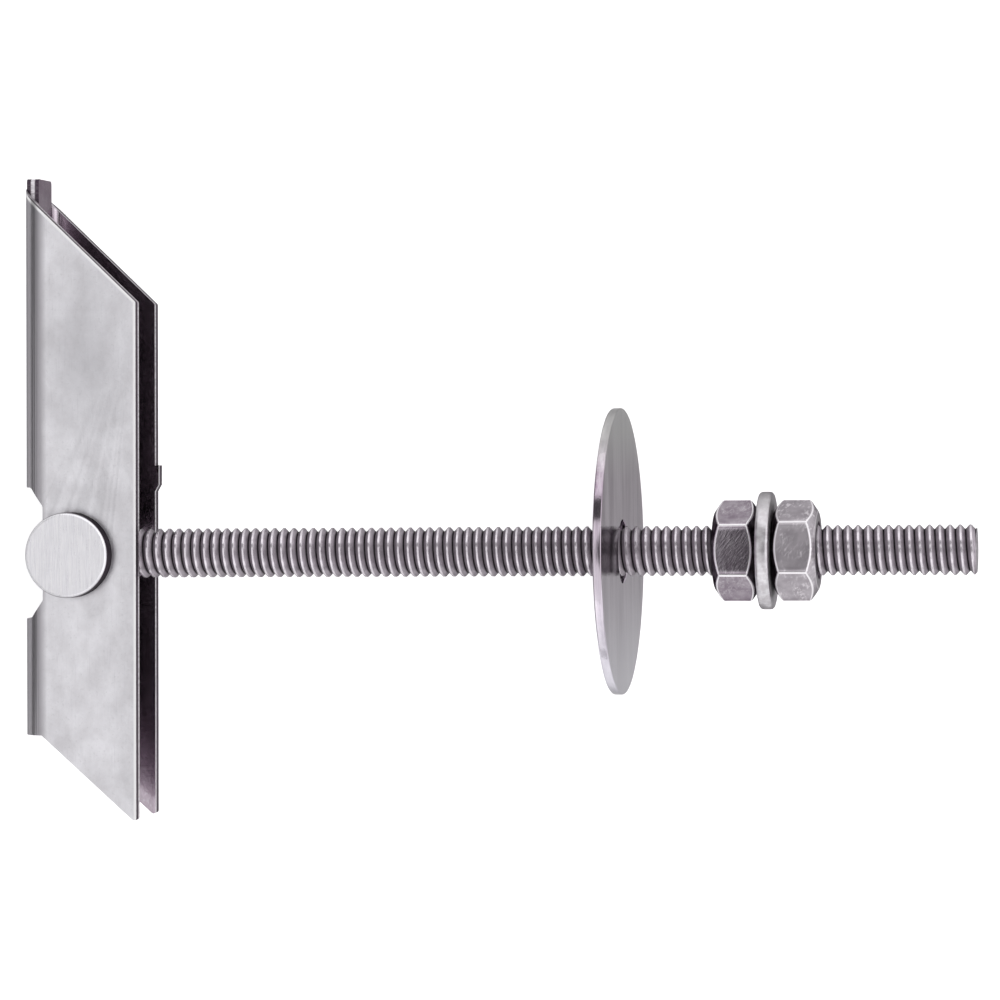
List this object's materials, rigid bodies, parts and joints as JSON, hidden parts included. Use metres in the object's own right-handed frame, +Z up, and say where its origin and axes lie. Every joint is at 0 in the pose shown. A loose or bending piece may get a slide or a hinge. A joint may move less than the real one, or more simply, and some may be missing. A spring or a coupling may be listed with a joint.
{
  "type": "gravity toggle anchor",
  "caption": "Folded steel toggle channel swinging on a round cross nut at the end of a threaded rod, with a wide wall washer and a pair of hex nuts clamping a small washer.",
  "frame": {"origin": "on the table under the middle of the whole, as it lies", "axes": "+X towards the rod's free end, which stands about 7 degrees up from the table, +Y towards the channel's long end, +Z up"},
  "size_m": [0.1218, 0.0828, 0.036],
  "materials": {
    "zinc_sheet": "zinc-plated sheet, dull",
    "turned_steel": "sawn and plated",
    "thread_steel": "rolled thread, plated",
    "polished_steel": "polished",
    "nut_steel": "plated, lightly scratched",
    "bright_steel": "plated, bright"
  },
  "bodies": {
    "rod": {"threaded_rod": "thread_steel", "cross_nut": "turned_steel"},
    "channel": {"toggle_channel": "zinc_sheet"},
    "wall_washer": {"large_washer": "polished_steel"},
    "nut_carrier": {"small_washer": "bright_steel"},
    "inner": {"inner_nut": "nut_steel"},
    "outer": {"outer_nut": "nut_steel"}
  },
  "joints": [
    {"name": "toggle_pivot", "type": "hinge", "parent": "rod", "child": "channel", "pos_m": [-0.05388, -0.00709, 0.00822], "axis": [-0.128, 0.0541, 0.9903], "range_deg": [-91, 94]},
    {"name": "wall_washer_slide", "type": "slide", "parent": "rod", "child": "wall_washer", "axis": [0.9918, 0.007, 0.1278], "range_m": [-0.0205, 0.0045]},
    {"name": "nut_travel", "type": "slide", "parent": "rod", "child": "nut_carrier", "axis": [0.9918, 0.007, 0.1278], "range_m": [-0.00635, 0.01905]},
    {"name": "inner_nut_turn", "type": "hinge", "parent": "nut_carrier", "child": "inner", "pos_m": [0.03089, -0.00649, 0.01915], "axis": [0.9918, 0.007, 0.1278], "range_deg": [-1800, 5400]},
    {"name": "outer_nut_turn", "type": "hinge", "parent": "nut_carrier", "child": "outer", "pos_m": [0.03829, -0.00644, 0.0201], "axis": [0.9918, 0.007, 0.1278], "range_deg": [-1800, 5400]}
  ],
  "couplings": [
    {"joint": "inner_nut_turn", "follows": "nut_travel", "rad_per_m": 4947.4},
    {"joint": "outer_nut_turn", "follows": "nut_travel", "rad_per_m": 4947.4}
  ]
}
